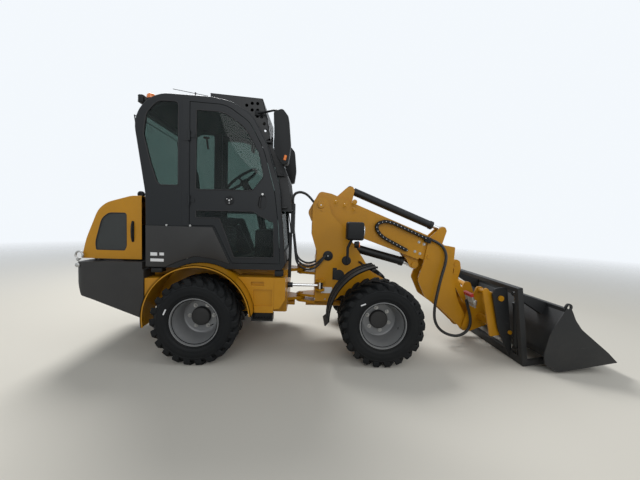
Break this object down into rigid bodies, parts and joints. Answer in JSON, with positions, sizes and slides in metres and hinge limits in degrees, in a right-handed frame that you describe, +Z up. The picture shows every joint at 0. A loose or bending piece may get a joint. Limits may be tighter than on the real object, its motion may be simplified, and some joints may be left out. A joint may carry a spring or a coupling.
{
  "type": "compact telescopic wheel loader",
  "caption": "Compact articulated wheel loader with a glazed cab, a telescopic boom and a high-tip bucket on a quick hitch.",
  "frame": {"origin": "on the ground under the middle of the whole machine's length and width, at rest", "axes": "+X forwards, +Y to the machine's left, +Z up"},
  "size_m": [4.9153, 1.648, 2.4499],
  "materials": {
    "ochre_paint": "satin",
    "charcoal_paint": "satin",
    "black_paint": "satin",
    "silver_paint": "satin",
    "black_plastic": "matte",
    "tyre_rubber": "matte",
    "chrome_rod": "polished",
    "tinted_glass": "gloss",
    "seat_fabric": "matte",
    "orange_lens": "gloss"
  },
  "bodies": {
    "rear": {"rear_frame": "charcoal_paint", "rear_axle": "charcoal_paint", "engine_block": "charcoal_paint", "counterweight": "ochre_paint", "rear_fenders": "black_plastic", "cab_body": "ochre_paint", "cab_side_panels": "charcoal_paint", "cab_glass": "tinted_glass", "seat": "seat_fabric", "steering_console": "black_plastic", "cab_guard": "black_paint", "roof_visor": "charcoal_paint", "mirrors": "black_plastic", "beacon": "orange_lens", "work_lamps": "black_plastic", "steps": "black_plastic", "valve_block": "black_paint"},
    "hood": {"hood": "ochre_paint", "hood_trim": "black_plastic"},
    "door_right": {"door_right": "ochre_paint", "door_glass_right": "tinted_glass"},
    "door_left": {"door_left": "ochre_paint", "door_glass_left": "tinted_glass"},
    "steering_barrel": {"steering_barrel": "black_paint"},
    "steering_rod": {"steering_rod": "chrome_rod"},
    "front": {"front_frame": "ochre_paint", "front_axle": "charcoal_paint", "front_fenders": "black_plastic", "front_lamps": "black_plastic"},
    "lift_barrel": {"lift_barrel": "black_paint"},
    "lift_rod": {"lift_rod": "chrome_rod"},
    "boom": {"boom_outer": "ochre_paint", "telescope_barrel": "black_paint", "energy_chain": "black_plastic"},
    "inner_boom": {"boom_inner": "ochre_paint", "telescope_rod": "chrome_rod"},
    "rocker": {"rocker": "ochre_paint"},
    "tilt_link": {"tilt_link": "ochre_paint"},
    "hitch": {"hitch": "ochre_paint", "tool_frame": "ochre_paint"},
    "bucket": {"bucket": "ochre_paint"},
    "tip_barrels": {"tip_barrels": "black_paint"},
    "tip_rods": {"tip_rods": "chrome_rod"},
    "wheel_rear_right": {"rim_rear_right": "silver_paint", "tyre_rear_right": "tyre_rubber"},
    "wheel_rear_left": {"rim_rear_left": "silver_paint", "tyre_rear_left": "tyre_rubber"},
    "wheel_front_right": {"rim_front_right": "silver_paint", "tyre_front_right": "tyre_rubber"},
    "wheel_front_left": {"rim_front_left": "silver_paint", "tyre_front_left": "tyre_rubber"}
  },
  "joints": [
    {"name": "articulation", "type": "hinge", "parent": "rear", "child": "front", "pos_m": [-0.3956, 0, 0.62], "axis": [0, 0, 1], "range_deg": [-38, 38]},
    {"name": "steering_barrel_swing", "type": "hinge", "parent": "rear", "child": "steering_barrel", "pos_m": [-0.8756, -0.23, 0.62], "axis": [0, 0, 1], "range_deg": [-12, 12]},
    {"name": "steering_rod_slide", "type": "slide", "parent": "steering_barrel", "child": "steering_rod", "axis": [1, 0.0073, 0], "range_m": [-0.17, 0.17]},
    {"name": "hood_hinge", "type": "hinge", "parent": "rear", "child": "hood", "pos_m": [-2.3736, 0, 0.886], "axis": [0, -1, 0], "range_deg": [0, 60]},
    {"name": "door_right_hinge", "type": "hinge", "parent": "rear", "child": "door_right", "pos_m": [-1.4136, -0.563, 1.6], "axis": [0, 0, -1], "range_deg": [0, 80]},
    {"name": "door_left_hinge", "type": "hinge", "parent": "rear", "child": "door_left", "pos_m": [-1.4136, 0.563, 1.6], "axis": [0, 0, 1], "range_deg": [0, 80]},
    {"name": "boom_lift", "type": "hinge", "parent": "front", "child": "boom", "pos_m": [-0.2076, 0, 1.452], "axis": [0, -1, 0], "range_deg": [0, 60]},
    {"name": "lift_barrel_swing", "type": "hinge", "parent": "front", "child": "lift_barrel", "pos_m": [-0.0056, 0, 1.05], "axis": [0, -1, 0], "range_deg": [0, 66]},
    {"name": "lift_rod_slide", "type": "slide", "parent": "lift_barrel", "child": "lift_rod", "axis": [0.9703, 0, -0.242], "range_m": [0, 0.46]},
    {"name": "telescope", "type": "slide", "parent": "boom", "child": "inner_boom", "axis": [0.9323, 0, -0.3616], "range_m": [0, 0.75]},
    {"name": "tool_tilt", "type": "hinge", "parent": "inner_boom", "child": "hitch", "pos_m": [1.4244, 0, 0.19], "axis": [0, -1, 0], "range_deg": [-45, 30]},
    {"name": "rocker_swing", "type": "hinge", "parent": "inner_boom", "child": "rocker", "pos_m": [1.0794, 0, 0.753], "axis": [0, -1, 0], "range_deg": [-46, 31]},
    {"name": "tilt_link_swing", "type": "hinge", "parent": "rocker", "child": "tilt_link", "pos_m": [1.3044, 0, 0.86], "axis": [0, 1, 0], "range_deg": [-46, 31]},
    {"name": "bucket_tip", "type": "hinge", "parent": "hitch", "child": "bucket", "pos_m": [2.22753, 0, 0.09724], "axis": [0, 1, 0], "range_deg": [0, 40]},
    {"name": "tip_barrel_swing", "type": "hinge", "parent": "hitch", "child": "tip_barrels", "pos_m": [1.69993, 0, 0.11499], "axis": [0, 1, 0], "range_deg": [0, 36]},
    {"name": "tip_rod_slide", "type": "slide", "parent": "tip_barrels", "child": "tip_rods", "axis": [-0.0836, 0, 0.9965], "range_m": [0, 0.37]},
    {"name": "wheel_rear_right_spin", "type": "hinge", "parent": "rear", "child": "wheel_rear_right", "pos_m": [-1.2956, -0.585, 0.378], "axis": [0, 1, 0], "continuous": true},
    {"name": "wheel_rear_left_spin", "type": "hinge", "parent": "rear", "child": "wheel_rear_left", "pos_m": [-1.2956, 0.585, 0.378], "axis": [0, 1, 0], "continuous": true},
    {"name": "wheel_front_right_spin", "type": "hinge", "parent": "front", "child": "wheel_front_right", "pos_m": [0.3544, -0.585, 0.378], "axis": [0, 1, 0], "continuous": true},
    {"name": "wheel_front_left_spin", "type": "hinge", "parent": "front", "child": "wheel_front_left", "pos_m": [0.3544, 0.585, 0.378], "axis": [0, 1, 0], "continuous": true}
  ],
  "couplings": [
    {"joint": "steering_barrel_swing", "follows": "articulation", "ratio": 0.2794},
    {"joint": "steering_rod_slide", "follows": "articulation", "m_per_rad": 0.2201},
    {"joint": "lift_barrel_swing", "follows": "boom_lift", "ratio": 1.0603},
    {"joint": "lift_rod_slide", "follows": "boom_lift", "m_per_rad": 0.4247},
    {"joint": "rocker_swing", "follows": "tool_tilt", "ratio": 1},
    {"joint": "tilt_link_swing", "follows": "tool_tilt", "ratio": 1},
    {"joint": "tip_barrel_swing", "follows": "bucket_tip", "ratio": 0.8667},
    {"joint": "tip_rod_slide", "follows": "bucket_tip", "m_per_rad": 0.509}
  ]
}
